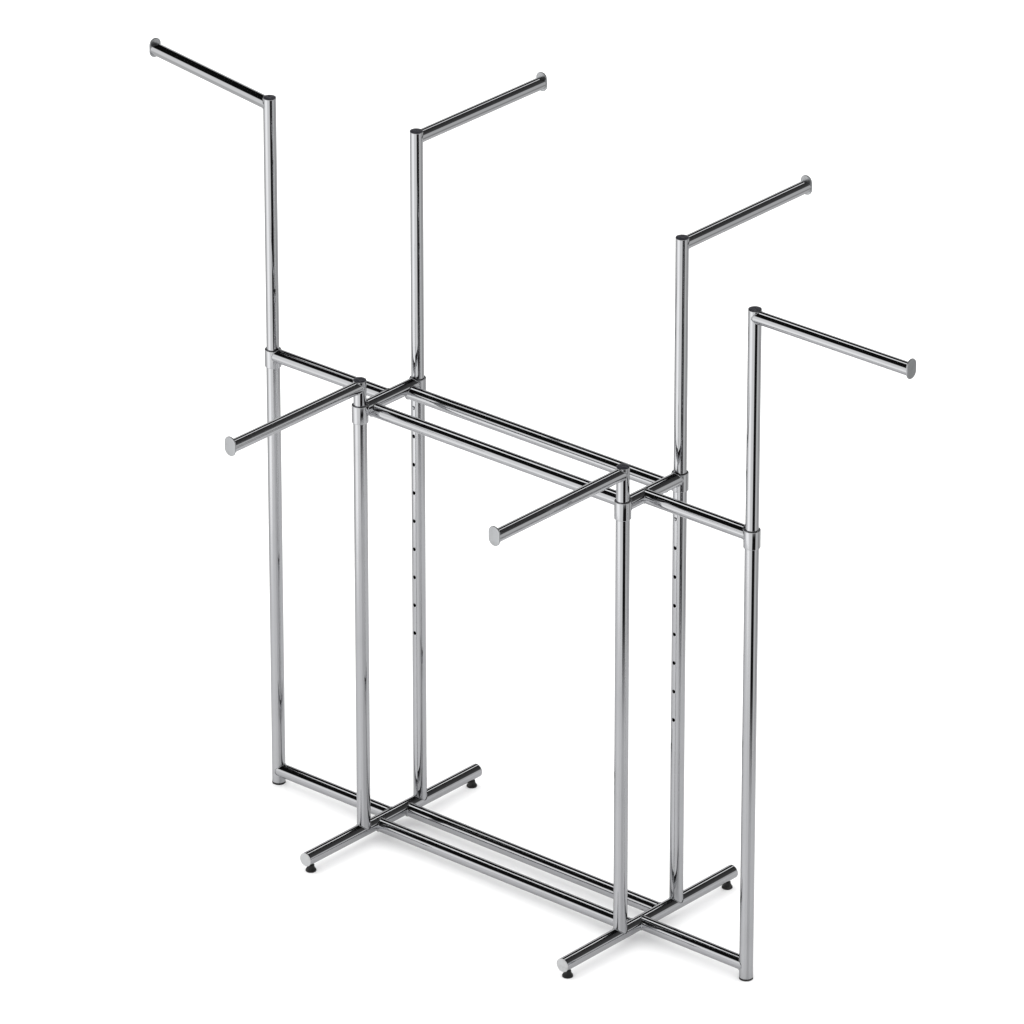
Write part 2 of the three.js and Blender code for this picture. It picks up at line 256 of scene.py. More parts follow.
def tube_grid(start, finish, side, radius, wall, at_start=(), at_finish=(), holes=(), drill=0.0):
    """Points and faces of a tube from start to finish. A point lies at start + along *
    distance + radius * (side * cos(turn) + across * sin(turn)). Holes of radius drill face
    the side vector at the listed distances."""
    along = unit(finish - start)
    length = np.linalg.norm(finish - start)
    side = unit(side - along * (side @ along))
    across = np.cross(along, side)
    if len(holes):
        turn, sideways = hole_columns(radius, drill)
    else:
        turn = np.linspace(0, 2 * math.pi, ROUND_COLUMNS, endpoint=False)
        sideways = np.full(ROUND_COLUMNS, OUT_OF_REACH)
    holes = np.asarray(holes, float)
    net_rows = (holes[:, None] + NET * drill).ravel() if len(holes) else np.array([length / 2])
    nearest = np.repeat(holes, len(NET)) if len(holes) else np.array([NO_HOLE])
    lengthways = (net_rows - nearest) / (drill or 1.0)
    factor, size = bend(sideways, lengthways[:, None])
    near_hole = sideways < OUT_OF_REACH
    skins = []
    for skin_radius, lip in ((radius, 1.0), (radius - wall, 0.0)):
        offsets = skin_radius * (np.cos(turn)[:, None] * side + np.sin(turn)[:, None] * across)
        first = end_distance(start, along, offsets, at_start, 1, 0.0)
        last = end_distance(start, along, offsets, at_finish, -1, length)
        moved = net_rows[:, None]
        if drill:
            moved = nearest[:, None] + lengthways[:, None] * factor * drill
        distance = np.concatenate([
            first + LIP_ROWS[:, None],
            np.broadcast_to(moved, (len(net_rows), len(turn))),
            last - LIP_ROWS[::-1, None],
        ])
        sine = np.clip(sideways * factor * drill / skin_radius, -1, 1)
        bent = np.where(near_hole, np.arcsin(sine), turn)
        plain = np.broadcast_to(turn, (len(LIP_ROWS), len(turn)))
        turns = np.concatenate([plain, bent, plain])
        hole_lip = LIP * np.clip(1 - (size - 1) / LIP_FADE, 0, 1) ** 2 * (size < NET_EDGE)
        ends = np.broadcast_to(LIP_DROP[:, None], (len(LIP_ROWS), len(turn)))
        local = skin_radius - lip * np.concatenate([ends, hole_lip, ends[::-1]])
        ring = np.cos(turns)[..., None] * side + np.sin(turns)[..., None] * across
        skins.append(start + along * distance[..., None] + local[..., None] * ring)
    kept = np.ones((distance.shape[0] - 1, len(turn)), bool)
    if len(holes):
        rows = slice(len(LIP_ROWS), len(LIP_ROWS) + len(net_rows) - 1)
        row_middle = (lengthways[:-1] + lengthways[1:]) / 2
        row_middle[np.diff(nearest) > 0] = OUT_OF_REACH
        column_middle = (sideways + np.roll(sideways, -1)) / 2
        kept[rows] = ~((abs(row_middle) < 1)[:, None] & (abs(column_middle) < 1)[None, :])
    points = np.concatenate([skin.reshape(-1, 3) for skin in skins])
    return points, skin_quads(kept)


def tube(name, body, node, *shape, slot="chromed_tube", **options):
    """Adds one finished tube; shape and options are those of tube_grid."""
    points, quads = tube_grid(*shape, **options)
    return add_piece(name, points, quads, body, slot, node)


# %% [markdown]
# ## Turned pieces
#
# Collars, plugs, caps and feet are all turned shapes: a profile of radius and height carried
# round an axis. The profile's corners are rounded first, because a moulded or machined corner
# always catches a line of light.

# %% Rounding a profile and turning it
TURN_COLUMNS = 64
CORNER_SHARE = 0.45  # the most of an edge that one rounded corner takes
SKEW = (0.31, 0.17, 0.93)  # a direction that no piece's axis lies along


def rounded(profile, radius, steps=4):
    """Replaces each inner corner of a profile with a smooth bend: points (1-t)^2 a + 2t(1-t)
    corner + t^2 b between the points a and b at the given distance before and after it."""
    profile = np.asarray(profile, float)
    t = np.linspace(0, 1, steps)[:, None]
    bent = [profile[:1]]
    for before, corner, after in zip(profile, profile[1:], profile[2:]):
        back, on = before - corner, after - corner
        reach = min(radius, CORNER_SHARE * np.linalg.norm(back), CORNER_SHARE * np.linalg.norm(on))
        a, b = corner + unit(back) * reach, corner + unit(on) * reach
        bent.append((1 - t) ** 2 * a + 2 * t * (1 - t) * corner + t**2 * b)
    return np.concatenate([*bent, profile[-1:]])


def closed_round(profile, radius, steps=4):
    """The same for a profile that is a loop."""
    profile = np.asarray(profile, float)
    looped = np.concatenate([profile[-1:], profile, profile[:1]])
    return rounded(looped, radius, steps)[1:-1]


def grid_quads(rows, columns, wrap_rows=False):
    """Faces of a grid whose columns wrap round, and whose rows may."""
    here = np.arange(rows * columns).reshape(rows, columns)
    if wrap_rows:
        here = np.concatenate([here, here[:1]])
    beside = np.roll(here, -1, axis=1)
    return np.stack([here[:-1], beside[:-1], beside[1:], here[1:]], axis=-1).reshape(-1, 4)


def turned(name, body, slot, node, origin, axis, profile, loop=False, shape=None):
    """Adds a turned piece. A point lies at origin + axis * height + radius * (side * cos(turn)
    + across * sin(turn)); shape may change radius and height by turn."""
    side = unit(np.cross(axis, SKEW))
    across = np.cross(axis, side)
    turn = np.linspace(0, 2 * math.pi, TURN_COLUMNS, endpoint=False)
    radius = np.repeat(profile[:, :1], TURN_COLUMNS, axis=1)
    height = np.repeat(profile[:, 1:2], TURN_COLUMNS, axis=1)
    if shape:
        radius, height = shape(radius, height, turn)
    ring = np.cos(turn)[:, None] * side + np.sin(turn)[:, None] * across
    points = origin + axis * height[..., None] + radius[..., None] * ring
    quads = grid_quads(len(profile), TURN_COLUMNS, loop)
    return add_piece(name, points.reshape(-1, 3), quads, body, slot, node)


# %% [markdown]
# ## Weld beads
#
# A hand weld leaves a small rippled fillet all the way round a joint, and it is plated with
# the rest of the frame. A texture could fake it, but the bead changes the outline and picks
# up its own reflections, so it is a real surface: a small round section carried along the
# line where the two tubes meet.

# %% Bead round a joint
BEAD_COLUMNS = 120
BEAD_SECTION = 10
BEAD_SIZE = 1.5 * MM
RIPPLES, RIPPLE_DEPTH = 34, 0.13
SLOW_WANDER, FAST_WANDER = 0.12, 0.08  # as shares of the bead's size


def bead(name, body, centre, along, neighbour, radius, below=0.0, tip=0.0):
    """Adds a bead where a tube of this radius, running along, leaves a neighbour given as its
    axis and radius. Its middle line is centre + radius * (side * cos(turn) + across *
    sin(turn)) + along * sqrt(R^2 - s^2), s being the part of it across the neighbour, and it
    comes no nearer than the tip. below is how far the tube's axis lies under the neighbour's.
    The section swells and shrinks with the ripples, and wanders a little between them."""
    axis, neighbour_radius = neighbour
    side = unit(np.cross(axis, along))
    across = np.cross(along, side)
    turn = np.linspace(0, 2 * math.pi, BEAD_COLUMNS, endpoint=False)[None, :]
    around = np.linspace(0, 2 * math.pi, BEAD_SECTION, endpoint=False)[:, None]
    wander = SLOW_WANDER * np.sin(3 * turn + len(name))
    wander = wander + FAST_WANDER * np.sin(7 * turn + 2 * len(name))
    size = BEAD_SIZE * (1 + RIPPLE_DEPTH * np.sin(RIPPLES * turn + wander) + wander)
    ring = np.cos(turn)[..., None] * side + np.sin(turn)[..., None] * across
    sideways = (radius * ring - below * Z) @ side
    least = max(SLIVER * neighbour_radius, tip) ** 2
    depth = np.sqrt(np.maximum(neighbour_radius**2 - sideways**2, least))
    line = centre + radius * ring + along * depth[..., None]
    section = np.cos(around)[..., None] * ring + np.sin(around)[..., None] * along
    points = line + size[..., None] * section
    quads = grid_quads(BEAD_SECTION, BEAD_COLUMNS, wrap_rows=True)
    return add_piece(name, points.reshape(-1, 3), quads, body, "chromed_tube")


# %% [markdown]
# ## Sizes of the stock
#
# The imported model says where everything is, and the stock sizes repeat its own: 35 mm tube
# for the base and top frame, 34 mm for the posts, and 31.8 mm, which is an inch and a
# quarter, for the risers and arms, so that a riser slides in a post.

# %% Stock sizes
FRAME_RADIUS, FRAME_WALL = 17.5 * MM, 1.2 * MM
POST_RADIUS, POST_WALL = 17.0 * MM, 0.8 * MM
RISER_RADIUS, RISER_WALL = 15.9 * MM, 1.2 * MM
COLLAR_RADIUS = 20.5 * MM
HOLE_RADIUS, HOLE_PITCH = 4.8 * MM, 76.2 * MM
VENT_RADIUS = 2.4 * MM
TOUCH = 0.1 * MM  # a mitred end bites this far into its neighbour

SIDES = ("left", "right")
ENDS = (("front", -1), ("back", 1))
KEYS = ("end_left", "front_left", "back_left", "front_right", "back_right", "end_right")
joint_range = {joint["name"]: joint["range_m"] for joint in frame["joints"]}

bar_axis = {side: box_of(f"foot_bar_{side}")[2] for side in SIDES}
top_axis = {side: box_of(f"cross_tube_{side}")[2] for side in SIDES}
top_height = box_of("top_end_rail_left")[2][2]
for side in SIDES:
    top_axis[side][2] = top_height
post_axis = {key: box_of(f"post_{key}")[2] * [1, 1, 0] for key in KEYS}
print("posts stand at", {key: [round(v, 3) for v in axis[:2]] for key, axis in post_axis.items()})

# %% [markdown]
# ## Base
#
# Two foot bars lie across the rack. Each is closed by grey moulded caps, and drilled below
# for the screwed stems of its two rubber feet. The rails between and beyond them are mitred
# onto the bars and welded. Plating a closed frame needs vent holes, and the two back rails
# show theirs near the right-hand bar.

# %% Foot bars, caps and feet
STEM_RADIUS = 4.0 * MM
STEM_END = 45 * MM
STEM_HOLE = STEM_RADIUS + 0.6 * MM
THREAD_PITCH, THREAD_DEPTH = 1.25 * MM, 0.35 * MM
FOOT_TOP = 17 * MM
GRIPS, GRIP_DEPTH = 20, 0.3 * MM
GRIP_INNER, GRIP_FADE = 12.6 * MM, 0.9 * MM

cap_profile = rounded(
    np.array([
        [0, -18], [15.3, -18], [15.3, -3], [17.45, -3], [17.45, -1.7], [15.4, -0.25],
        [14.6, -0.35], [14.0, 0], [0, 0],
    ]) * MM,
    0.5 * MM,
)
foot_profile = rounded(
    np.array([
        [0, 0.8], [9.5, 0.8], [11, 0], [13.5, 0], [13.5, 3.6], [10.6, 7.5], [9.2, 11],
        [8.6, 14.2], [8.6, 17], [0, 17],
    ]) * MM,
    1.1 * MM,
)


def gripped(radius, height, turn):
    """Shallow finger grips: the rim of the foot swells and shrinks 20 times round it."""
    share = np.clip((radius - GRIP_INNER) / GRIP_FADE, 0, 1)
    return radius - GRIP_DEPTH * share * (0.5 - 0.5 * np.cos(GRIPS * turn)), height


def threaded(radius, height, turn):
    """A screw thread: the radius falls and rises once for each pitch, and the wave climbs
    one pitch in each turn."""
    phase = height / THREAD_PITCH - turn / (2 * math.pi)
    tooth = 2 * abs(phase - np.floor(phase) - 0.5)
    return np.where(radius > 0.9 * STEM_RADIUS, radius - THREAD_DEPTH * tooth, radius), height


stem_rows = np.arange(FOOT_TOP - 1 * MM, STEM_END, THREAD_PITCH / 8)
stem_profile = np.concatenate([
    [[0, stem_rows[0]]],
    np.stack([np.full(len(stem_rows), STEM_RADIUS), stem_rows], axis=1),
    [[0, stem_rows[-1]]],
])

for side in SIDES:
    low, high, middle = box_of(f"foot_bar_{side}")
    start, finish = middle * [1, 0, 1] + low * Y, middle * [1, 0, 1] + high * Y
    feet = [box_of(f"levelling_foot_{side}_{end}")[2][1] - start[1] for end, _ in ENDS]
    tube(
        f"foot_bar_{side}_tube", "frame", f"foot_bar_{side}", start, finish, -Z,
        FRAME_RADIUS, FRAME_WALL, holes=sorted(feet), drill=STEM_HOLE,
    )
    for end, sign in ENDS:
        cap_low, cap_high, cap_middle = box_of(f"foot_cap_{side}_{end}")
        face = cap_middle.copy()
        face[1] = cap_high[1] if sign > 0 else cap_low[1]
        turned(
            f"foot_cap_{side}_{end}_moulding", "frame", "grey_plastic",
            f"foot_cap_{side}_{end}", face, sign * Y, cap_profile,
        )
        foot = box_of(f"levelling_foot_{side}_{end}")[2] * [1, 1, 0]
        body = f"foot_{side}_{end}"
        turned(
            f"levelling_foot_{side}_{end}_rubber", body, "black_rubber",
            f"levelling_foot_{side}_{end}", foot, Z, foot_profile, shape=gripped,
        )
        turned(
            f"foot_stem_{side}_{end}", body, "spring_steel", None, foot, Z, stem_profile,
            shape=threaded,
        )
print("foot stems have", round((STEM_END - FOOT_TOP) / THREAD_PITCH, 1), "turns of thread")

# %% Rails of the base
VENT_FROM_TIP = 43 * MM
VENT_FACE = unit([0, -1, -0.6])
RAIL_TIP = 9 * MM  # the underside of a long rail stops this far short of the bar's axis


def long_rail(node, bar, vent):
    """Adds a rail between the two bars, a little lower than their axes, with its beads. vent
    says if it has a vent hole by the right-hand bar."""
    middle = box_of(node)[2]
    left, right = (bar[side] * X + middle * [0, 1, 1] for side in SIDES)
    start, finish = left + RAIL_TIP * X, right - RAIL_TIP * X
    holes = [finish[0] - start[0] - VENT_FROM_TIP] if vent else []
    tube(
        f"{node}_tube", "frame", node, start, finish, VENT_FACE, FRAME_RADIUS, FRAME_WALL,
        at_start=[(bar["left"], Y, FRAME_RADIUS - TOUCH)],
        at_finish=[(bar["right"], Y, FRAME_RADIUS - TOUCH)],
        holes=holes, drill=VENT_RADIUS if vent else 0.0,
    )
    below = bar["left"][2] - middle[2]
    for side, point, way in (("left", left, X), ("right", right, -X)):
        bead(
            f"weld_{node}_{side}", "frame", point, way, (Y, FRAME_RADIUS), FRAME_RADIUS,
            below, RAIL_TIP,
        )


def end_rail(node, side, bar, upright_radius):
    """Adds a short rail from a bar to an end post, with a bead at each end."""
    middle = box_of(node)[2]
    start = bar[side] * [1, 0, 1] + middle * Y
    finish = post_axis[f"end_{side}"] * X + middle * [0, 1, 1]
    way = unit(finish - start)
    tube(
        f"{node}_tube", "frame", node, start, finish, Z, FRAME_RADIUS, FRAME_WALL,
        at_start=[(start, Y, FRAME_RADIUS - TOUCH)],
        at_finish=[(finish, Z, upright_radius - TOUCH)],
    )
    bead(f"weld_{node}_bar", "frame", start, way, (Y, FRAME_RADIUS), FRAME_RADIUS)
    bead(f"weld_{node}_post", "frame", finish, -way, (Z, upright_radius), FRAME_RADIUS)


long_rail("base_rail_front", bar_axis, False)
long_rail("base_rail_back", bar_axis, True)
for side in SIDES:
    end_rail(f"base_end_rail_{side}", side, bar_axis, POST_RADIUS)
print("base rails lie at height", round(box_of("base_rail_front")[2][2], 4))

# %% [markdown]
# ## Top frame
#
# Each inner post has a collar: a short sleeve with a lip that closes in to the riser. A cross
# tube joins the two collars of a side, and the top rails are welded between the cross tubes.
# The end posts have collars of their own, on short rails. A collar is a turned loop: up the
# outside, over the lip and down the bore.

# %% Collars
COLLAR_BORE = POST_RADIUS + 0.15 * MM
COLLAR_MOUTH = RISER_RADIUS + 0.35 * MM
COLLAR_HEIGHT = 46 * MM
COLLAR_LIP = 4 * MM

collar_profile = closed_round(
    [
        [COLLAR_BORE, -COLLAR_HEIGHT], [COLLAR_RADIUS, -COLLAR_HEIGHT], [COLLAR_RADIUS, 0],
        [COLLAR_MOUTH, 0], [COLLAR_MOUTH, -COLLAR_LIP], [COLLAR_BORE, -COLLAR_LIP],
    ],
    1.5 * MM,
    steps=6,
)

top = box_of("collar_left")[1][2]
for side in SIDES:
    for end, _ in ENDS:
        key = f"{end}_{side}"
        turned(
            f"collar_{key}_sleeve", "frame", "chromed_tube", f"cross_tube_{side}",
            post_axis[key] + top * Z, Z, collar_profile, loop=True,
        )
    turned(
        f"collar_end_{side}_sleeve", "frame", "chromed_tube", f"collar_{side}",
        post_axis[f"end_{side}"] + top * Z, Z, collar_profile, loop=True,
    )
print("collar tops at", round(top, 4))

# %% Cross tubes and top rails
for side in SIDES:
    front, back = (post_axis[f"{end}_{side}"] + top_height * Z for end, _ in ENDS)
    tube(
        f"cross_tube_{side}_tube", "frame", f"cross_tube_{side}", front, back, Z,
        FRAME_RADIUS, FRAME_WALL,
        at_start=[(front, Z, COLLAR_RADIUS - TOUCH)], at_finish=[(back, Z, COLLAR_RADIUS - TOUCH)],
    )
    bead(f"weld_cross_tube_{side}_front", "frame", front, Y, (Z, COLLAR_RADIUS), FRAME_RADIUS)
    bead(f"weld_cross_tube_{side}_back", "frame", back, -Y, (Z, COLLAR_RADIUS), FRAME_RADIUS)

long_rail("top_rail_front", top_axis, False)
long_rail("top_rail_back", top_axis, True)
for side in SIDES:
    end_rail(f"top_end_rail_{side}", side, top_axis, COLLAR_RADIUS)
print("cross tubes lie at height", round(float(top_height), 4))

# %% [markdown]
# ## Posts
#
# A post is thin tube with one row of holes, a step of three inches apart, on the side that
# the spring button faces. The button's place and the travel of the riser's joint say where
# the lowest and the highest hole are. Inner posts are mitred onto the foot bars, and end
# posts stand on the floor in a rubber glide.

# %% Posts and floor glides
BUTTON_BELOW_LEAF_TOP = 8 * MM  # the pin sits this far under the top of its spring leaf

glide_profile = rounded(
    np.array([[0, 0.3], [14, 0.3], [15, 0], [17, 0], [17, 5], [15.2, 5], [15.2, 20], [0, 20]]) * MM,
    1.2 * MM,
)


def button_place(key):
    """Height of a spring button's pin, and the level direction in which it points."""
    _, high, middle = box_of(f"snap_button_{key}")
    out = (middle - post_axis[key]) * [1, 1, 0]
    return high[2] - BUTTON_BELOW_LEAF_TOP, unit(out)


for key in KEYS:
    pin_height, out = button_place(key)
    lowest, highest = (pin_height + travel for travel in joint_range[f"riser_slide_{key}"])
    low, high, _ = box_of(f"post_{key}")
    on_floor = key.startswith("end")
    start = post_axis[key] + (low[2] * Z if on_floor else bar_axis[key.split("_")[1]] * Z)
    finish = post_axis[key] + high[2] * Z
    count = round((highest - lowest) / HOLE_PITCH) + 1
    heights = lowest + HOLE_PITCH * np.arange(count) - start[2]
    tube(
        f"post_{key}_tube", "frame", f"post_{key}", start, finish, out, POST_RADIUS, POST_WALL,
        at_start=[] if on_floor else [(start, Y, FRAME_RADIUS - TOUCH)],
        holes=heights, drill=HOLE_RADIUS,
    )
    if on_floor:
        side = key.split("_")[1]
        turned(
            f"floor_glide_{side}_rubber", "frame", "black_rubber", f"floor_glide_{side}",
            post_axis[key], Z, glide_profile,
        )
    else:
        bead(f"weld_post_{key}", "frame", start, Z, (Y, FRAME_RADIUS), POST_RADIUS)
    print(f"post_{key}: {count} holes, lowest at {lowest:.3f}")

# %% [markdown]
# ## Arm units
#
# A riser, its arm and its stop plate are one welded unit that lifts out of the post. The
# riser is closed by a black moulded plug with a low crown, the arm is mitred onto the riser,
# and the stop plate is a small pressed steel plate with round ends and soft edges.

# %% Stop plates and plugs
STOP_HALF_WIDTH = 17 * MM
STOP_THICKNESS = 4 * MM
STOP_LIFT = 3 * MM
STOP_COLUMNS = 32

plug_profile = rounded(
    np.array([
        [0, -17.7], [14.2, -17.7], [14.2, -2.7], [15.9, -2.7], [15.9, -1.3], [12.6, -0.25],
        [8, -0.05], [2.4, 0], [1.7, -0.45], [0, -0.45],
    ]) * MM,
    0.6 * MM,
)
stop_section = rounded(
    np.array([[17, 0], [2.6, 0], [0.35, 0.45], [0, 1.6], [0, 3], [0.9, 4], [17, 4]]) * MM,
    0.7 * MM,
)


def stop_plate(name, body, node, middle, out):
    """Adds a plate with round ends. Each ring of its section is the outline drawn in by an
    inset: two half circles of radius half width - inset, their centres a fixed distance above
    and below the middle. The last ring closes on the line between these centres."""
    low, high, _ = box_of(node)
    rise = (high[2] - low[2]) / 2 - STOP_HALF_WIDTH
    half = np.linspace(0, math.pi, STOP_COLUMNS + 1)
    turn = np.concatenate([half, half + math.pi])
    shift = np.concatenate([np.full(len(half), rise), np.full(len(half), -rise)])
    across = np.cross(Z, out)
    reach = STOP_HALF_WIDTH - stop_section[:, :1]
    sideways, upwards = reach * np.cos(turn), reach * np.sin(turn) + shift
    depth = STOP_THICKNESS / 2 - stop_section[:, 1:2] + np.zeros_like(sideways)
    points = middle + out * depth[..., None] + across * sideways[..., None] + Z * upwards[..., None]
    quads = grid_quads(len(stop_section), len(turn))
    return add_piece(name, points.reshape(-1, 3), quads, body, "satin_plate", node)


# %% Spring buttons
BUTTON_HOLE = 4.6 * MM
BUTTON_TIP = POST_RADIUS + 2 * MM
LEAF_FACE = 13 * MM
LEAF_THICKNESS = 0.8 * MM
LEAF_WIDTH = 9 * MM
LEAF_LENGTH = 60 * MM
LEAF_BOW = 2.2 * MM
LEAF_TAPER = 2 * MM
LEAF_ROWS, LEAF_COLUMNS = 40, 16
SQUARENESS = 0.3  # 1 gives the leaf an oval section, and less a flatter one

pin_profile = rounded(
    np.array([[0, 12.4], [4.2, 12.4], [4.2, 17.6], [2.6, 18.9], [0, 19]]) * MM, 0.9 * MM,
)


def spring_leaf(name, body, pin, out):
    """Adds the leaf: a flat section with round edges carried down a line that lies close to
    the riser's wall and bows inwards by the square of the distance below the pin."""
    top_end, low_end = -BUTTON_BELOW_LEAF_TOP, LEAF_LENGTH - BUTTON_BELOW_LEAF_TOP
    down = np.linspace(top_end, low_end, LEAF_ROWS)
    inwards = LEAF_BOW * (np.maximum(down, 0) / LEAF_LENGTH) ** 2
    section_turn = np.linspace(0, 2 * math.pi, LEAF_COLUMNS, endpoint=False)
    taper = np.clip(np.minimum(down - down[0], down[-1] - down) / LEAF_TAPER, 0.0, 1.0) ** 0.5
    level = np.cos(section_turn)
    flat = abs(level) ** SQUARENESS * np.sign(level) * LEAF_WIDTH / 2
    thick = np.sin(section_turn) * LEAF_THICKNESS / 2
    across = np.cross(Z, out)
    depth = LEAF_FACE - LEAF_THICKNESS / 2 - inwards[:, None] + thick * taper[:, None]
    width = flat * taper[:, None]
    points = pin + out * depth[..., None] + across * width[..., None] - Z * down[:, None, None]
    quads = grid_quads(LEAF_ROWS, LEAF_COLUMNS)
    return add_piece(name, points.reshape(-1, 3), quads, body, "spring_steel")


print("button pins stand", round((BUTTON_TIP - POST_RADIUS) / MM, 1), "mm out of the posts")

# %% Risers, arms and what they carry
for key in KEYS:
    body = f"arm_unit_{key}"
    pin_height, out = button_place(key)
    low, high, _ = box_of(f"riser_{key}")
    foot, head = post_axis[key] + low[2] * Z, post_axis[key] + high[2] * Z
    tube(
        f"riser_{key}_tube", body, f"riser_{key}", foot, head, out, RISER_RADIUS, RISER_WALL,
        holes=[pin_height - low[2]], drill=BUTTON_HOLE,
    )
    turned(
        f"riser_plug_{key}_moulding", body, "black_plastic", f"riser_plug_{key}",
        post_axis[key] + box_of(f"riser_plug_{key}")[1] * Z, Z, plug_profile,
    )
    plate = box_of(f"arm_stop_{key}")[2]
    arm_root = post_axis[key] + (plate[2] - STOP_LIFT) * Z
    way = unit((plate - arm_root) * [1, 1, 0])
    arm_tip = arm_root + way * ((plate - arm_root) @ way - STOP_THICKNESS / 2)
    tube(
        f"arm_{key}_tube", body, f"arm_{key}", arm_root, arm_tip, Z, RISER_RADIUS, RISER_WALL,
        at_start=[(arm_root, Z, RISER_RADIUS - TOUCH)],
    )
    bead(f"weld_arm_{key}", body, arm_root, way, (Z, RISER_RADIUS), RISER_RADIUS)
    stop_plate(f"arm_stop_{key}_plate", body, f"arm_stop_{key}", plate, way)
    pin = post_axis[key] + pin_height * Z
    turned(
        f"snap_button_{key}_pin", f"button_{key}", "spring_steel", f"snap_button_{key}",
        pin, out, pin_profile,
    )
    spring_leaf(f"snap_button_{key}_leaf", f"button_{key}", pin, out)

# %% [markdown]
# ## Finishes
#
# Bright chrome is almost only reflection, so what makes it look real is how little it varies:
# faint wiping marks, a film of dust that dulls it in patches, and polishing waves far too
# shallow to see except in a reflected line. These effects are node groups, built once and
# used in every material with values of its own.

# %% Node group helpers
def new_group(name, inputs, outputs):
    """An empty shader node group with the named inputs, given with their defaults, and
    outputs. Returns the group, its input node and its output node."""
    group = bpy.data.node_groups.new(name, "ShaderNodeTree")
    for label, default in inputs.items():
        socket = group.interface.new_socket(label, in_out="INPUT", socket_type="NodeSocketFloat")
        socket.default_value = default
    for label in outputs:
        group.interface.new_socket(label, in_out="OUTPUT", socket_type="NodeSocketFloat")
    return group, group.nodes.new("NodeGroupInput"), group.nodes.new("NodeGroupOutput")


def maths(tree, operation, first, second=None, clamp=False):
    """One Math node; each input is a number or another node's output socket."""
    node = tree.nodes.new("ShaderNodeMath")
    node.operation = operation
    node.use_clamp = clamp
    for socket, value in zip(node.inputs, (first, second)):
        if isinstance(value, bpy.types.NodeSocket):
            tree.links.new(value, socket)
        elif value is not None:
            socket.default_value = value
    return node.outputs[0]


def steps_between(tree, value, low, high):
    """A mask that rises smoothly from 0 at low to 1 at high."""
    node = tree.nodes.new("ShaderNodeMapRange")
    node.interpolation_type = "SMOOTHSTEP"
    tree.links.new(value, node.inputs["Value"])
    node.inputs["From Min"].default_value = low
    node.inputs["From Max"].default_value = high
    return node.outputs["Result"]


def cloud(tree, scale, stretch=(1, 1, 1), detail=3.0):
    """Noise on the piece's own place in metres, stretched along its axes."""
    place = tree.nodes.new("ShaderNodeTexCoord")
    mapping = tree.nodes.new("ShaderNodeMapping")
    mapping.inputs["Scale"].default_value = stretch
    noise = tree.nodes.new("ShaderNodeTexNoise")
    noise.inputs["Detail"].default_value = detail
    tree.links.new(place.outputs["Object"], mapping.inputs["Vector"])
    tree.links.new(mapping.outputs["Vector"], noise.inputs["Vector"])
    if isinstance(scale, bpy.types.NodeSocket):
        tree.links.new(scale, noise.inputs["Scale"])
    else:
        noise.inputs["Scale"].default_value = scale
    return noise.outputs["Fac"]


# %% Handling marks, dust and surface waves
PATCH_STEPS = (0.5, 0.72)  # noise at which a patch starts and is full
FINE_STEPS = (0.38, 0.7)
FINE_SHARE = 0.7


def build_handling_marks():
    """Patches of wiping marks and dust: broad noise picks the patches, and fine noise scales
    them by 0.5, which the node adds itself, to 1.2. Output Dull is 0 on clean metal."""
    group, given, result = new_group(
        "handling_marks", {"Patch Scale": 9.0, "Fine Scale": 260.0, "Amount": 1.0}, ["Dull"],
    )
    patches = steps_between(group, cloud(group, given.outputs["Patch Scale"]), *PATCH_STEPS)
    fine = steps_between(group, cloud(group, given.outputs["Fine Scale"]), *FINE_STEPS)
    both = maths(group, "MULTIPLY", patches, maths(group, "MULTIPLY_ADD", fine, FINE_SHARE))
    group.links.new(maths(group, "MULTIPLY", both, given.outputs["Amount"]), result.inputs["Dull"])
    return group


def build_surface_waves():
    """Height of a polished or moulded skin: long shallow waves and a fine grain. Output
    Height is in the units of the Bump node's distance."""
    group, given, result = new_group(
        "surface_waves",
        {"Wave Scale": 24.0, "Wave Height": 1.0, "Grain Scale": 900.0, "Grain Height": 0.2},
        ["Height"],
    )
    waves = maths(group, "MULTIPLY", cloud(group, given.outputs["Wave Scale"], detail=1.0),
                  given.outputs["Wave Height"])
    grain = maths(group, "MULTIPLY", cloud(group, given.outputs["Grain Scale"]),
                  given.outputs["Grain Height"])
    group.links.new(maths(group, "ADD", waves, grain), result.inputs["Height"])
    return group


handling_marks = build_handling_marks()
surface_waves = build_surface_waves()


def place_group(tree, group, **values):
    """Puts a group in a material with its own values."""
    node = tree.nodes.new("ShaderNodeGroup")
    node.node_tree = group
    for label, value in values.items():
        node.inputs[label.replace("_", " ")].default_value = value
    return node


print("groups:", [group.name for group in bpy.data.node_groups])

